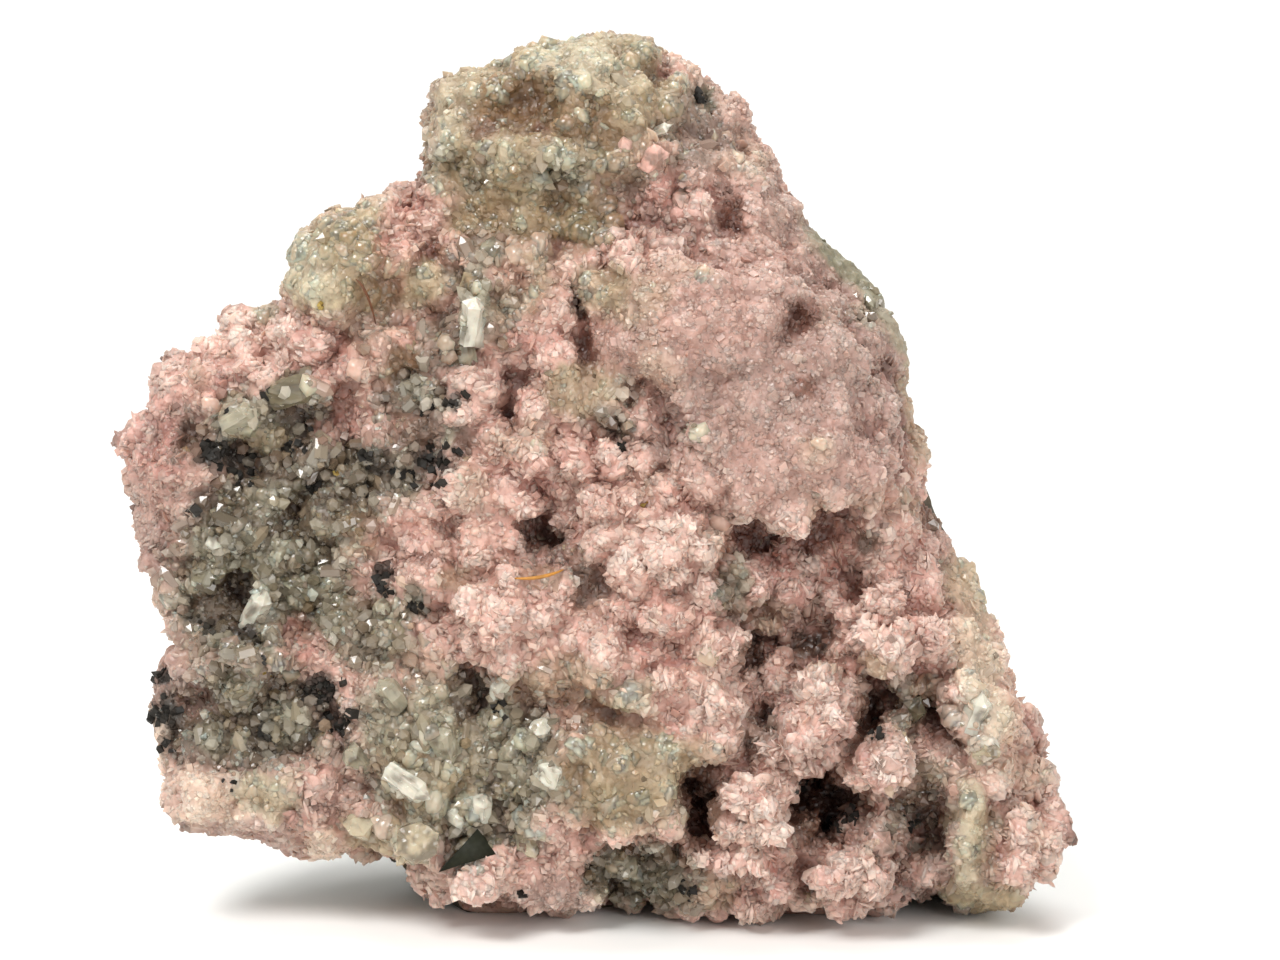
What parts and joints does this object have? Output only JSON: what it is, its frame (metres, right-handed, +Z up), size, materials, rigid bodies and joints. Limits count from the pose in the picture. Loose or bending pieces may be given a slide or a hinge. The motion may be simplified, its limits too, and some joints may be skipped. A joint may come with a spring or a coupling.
{
  "type": "rhodochrosite mineral specimen",
  "caption": "Rough pink and cream rhodochrosite and quartz crystal plate on a dark angular rock, standing on its own foot.",
  "frame": {"origin": "centre of the bounding box's footprint, at the floor the cut foot stands on", "axes": "+Z up, the crystal face looks toward -Y and leans back a little, +X to the right of a viewer facing it"},
  "size_m": [0.094, 0.0472, 0.0876],
  "materials": {
    "rhodochrosite": "sugary pink crystal crust, softly glossy",
    "quartz": "milky grey to cream crystals, glassy",
    "matrix_rock": "dark broken rock, matte",
    "sulfide": "black metallic grains with a few brassy specks"
  },
  "bodies": {
    "root": {"rhodochrosite_specimen": "rhodochrosite"}
  },
  "joints": []
}
